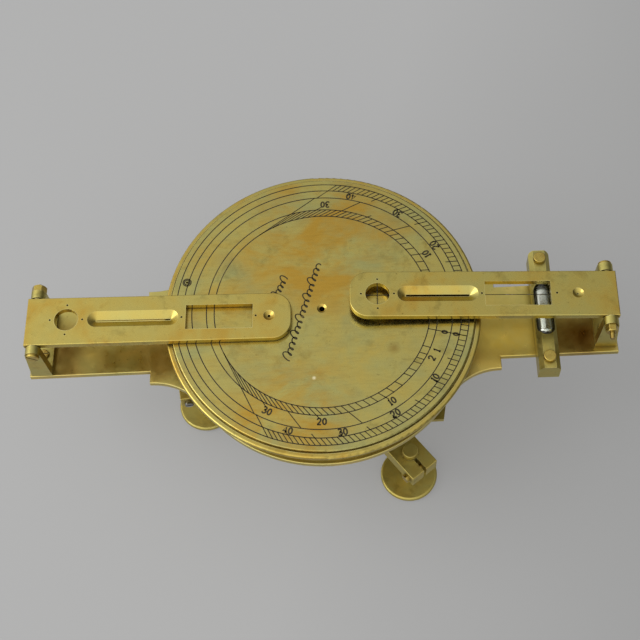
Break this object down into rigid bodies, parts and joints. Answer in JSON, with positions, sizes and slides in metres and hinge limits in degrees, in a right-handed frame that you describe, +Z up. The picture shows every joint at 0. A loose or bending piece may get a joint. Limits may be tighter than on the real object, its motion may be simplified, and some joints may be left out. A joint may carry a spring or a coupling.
{
  "type": "surveying compass",
  "caption": "Brass mining survey compass with engraved lid, folding slit-and-window sights, cross level and a levelling base with foot screws.",
  "frame": {"origin": "on the vertical axis, at the level of the table that the foot pads stand on", "axes": "+X along the sight plate towards the arm with the level, +Z up along the azimuth axis"},
  "size_m": [0.3231, 0.171, 0.112],
  "materials": {
    "fitting_brass": "aged lacquered brass, satin",
    "plate_brass": "aged brass with faint brushing",
    "lid_brass": "aged brass, mottled, wax-filled engraving",
    "silvered_brass": "silvered, matt",
    "steel": "worn bright steel",
    "glass": "clear"
  },
  "bodies": {
    "base": {"tribrach_hub": "fitting_brass", "lug_arm_a": "fitting_brass", "lug_arm_b": "fitting_brass", "lug_arm_c": "fitting_brass", "lug_clamp_screw_a": "fitting_brass", "lug_clamp_screw_b": "fitting_brass", "lug_clamp_screw_c": "steel", "axis_pillar": "fitting_brass", "pillar_screws": "fitting_brass", "retaining_washer": "fitting_brass", "retaining_nut": "fitting_brass"},
    "compass": {"axis_socket": "fitting_brass", "socket_screws": "fitting_brass", "clamp_collar": "fitting_brass", "arm_pillar": "fitting_brass", "sight_plate": "plate_brass", "compass_box": "plate_brass", "box_screws": "fitting_brass", "limb_ring": "plate_brass", "glass_disc": "glass", "glass_bezel": "fitting_brass", "dial_plate": "silvered_brass", "degree_ring": "silvered_brass", "pivot_post": "steel", "lifter_bracket": "fitting_brass", "left_hinge_bracket": "fitting_brass", "right_hinge_bracket": "fitting_brass", "left_hinge_bolt": "fitting_brass", "right_hinge_bolt": "fitting_brass", "left_hinge_nut": "fitting_brass", "right_hinge_nut": "fitting_brass", "bracket_screws": "fitting_brass", "level_frame": "fitting_brass", "level_vial": "glass", "level_screws": "fitting_brass", "level_fixings": "fitting_brass"},
    "lid": {"lid": "lid_brass"},
    "needle": {"compass_needle": "steel", "needle_cap": "fitting_brass"},
    "lifter": {"needle_lifter": "fitting_brass"},
    "lifter_knob": {"lifter_screw": "fitting_brass"},
    "clamp_knob": {"clamp_screw": "fitting_brass"},
    "left_sight": {"left_sight_vane": "plate_brass"},
    "right_sight": {"right_sight_vane": "plate_brass", "right_cross_wires": "steel", "right_window_hair": "steel"},
    "pad_a": {"foot_pad_a": "fitting_brass"},
    "screw_a": {"foot_screw_a": "fitting_brass"},
    "pad_b": {"foot_pad_b": "fitting_brass"},
    "screw_b": {"foot_screw_b": "fitting_brass"},
    "pad_c": {"foot_pad_c": "fitting_brass"},
    "screw_c": {"foot_screw_c": "fitting_brass"}
  },
  "joints": [
    {"name": "azimuth_turn", "type": "hinge", "parent": "base", "child": "compass", "pos_m": [0, 0, 0.06], "axis": [0, 0, 1], "continuous": true},
    {"name": "lid_turn", "type": "hinge", "parent": "compass", "child": "lid", "pos_m": [0, 0, 0.103], "axis": [0, 0, 1], "continuous": true},
    {"name": "needle_spin", "type": "hinge", "parent": "compass", "child": "needle", "pos_m": [0, 0, 0.09], "axis": [0, 0, 1], "continuous": true},
    {"name": "lifter_turn", "type": "hinge", "parent": "compass", "child": "lifter_knob", "pos_m": [0, 0.046, 0.073], "axis": [0, 0, 1], "range_deg": [0, 540]},
    {"name": "needle_lift", "type": "hinge", "parent": "compass", "child": "lifter", "pos_m": [0, 0.059, 0.08565], "axis": [-1, 0, 0], "range_deg": [0, 2.01]},
    {"name": "clamp_turn", "type": "hinge", "parent": "compass", "child": "clamp_knob", "pos_m": [-0.01884, 0.01319, 0.0565], "axis": [-0.5736, -0.8192, 0], "range_deg": [0, 360]},
    {"name": "left_sight_fold", "type": "hinge", "parent": "compass", "child": "left_sight", "pos_m": [-0.1548, -0.0016, 0.1044], "axis": [-0.0244, -0.9997, 0], "range_deg": [0, 90]},
    {"name": "right_sight_fold", "type": "hinge", "parent": "compass", "child": "right_sight", "pos_m": [0.1534, -0.0003, 0.1044], "axis": [0.0297, 0.9996, 0], "range_deg": [-1.6, 88.3]},
    {"name": "foot_a_travel", "type": "slide", "parent": "base", "child": "pad_a", "axis": [0, 0, -1], "range_m": [-0.00505, 0.00505]},
    {"name": "foot_a_turn", "type": "hinge", "parent": "pad_a", "child": "screw_a", "pos_m": [0.04525, -0.05918, 0.02], "axis": [0, 0, 1], "range_deg": [-1800, 1800]},
    {"name": "foot_b_travel", "type": "slide", "parent": "base", "child": "pad_b", "axis": [0, 0, -1], "range_m": [-0.00505, 0.00505]},
    {"name": "foot_b_turn", "type": "hinge", "parent": "pad_b", "child": "screw_b", "pos_m": [0.02863, 0.06878, 0.02], "axis": [0, 0, 1], "range_deg": [-1800, 1800]},
    {"name": "foot_c_travel", "type": "slide", "parent": "base", "child": "pad_c", "axis": [0, 0, -1], "range_m": [-0.00505, 0.00505]},
    {"name": "foot_c_turn", "type": "hinge", "parent": "pad_c", "child": "screw_c", "pos_m": [-0.07388, -0.00959, 0.02], "axis": [0, 0, 1], "range_deg": [-1800, 1800]}
  ],
  "couplings": [
    {"joint": "needle_lift", "follows": "lifter_turn", "ratio": 0.0037037},
    {"joint": "foot_a_travel", "follows": "foot_a_turn", "m_per_rad": -0.00015915},
    {"joint": "foot_b_travel", "follows": "foot_b_turn", "m_per_rad": -0.00015915},
    {"joint": "foot_c_travel", "follows": "foot_c_turn", "m_per_rad": -0.00015915}
  ]
}
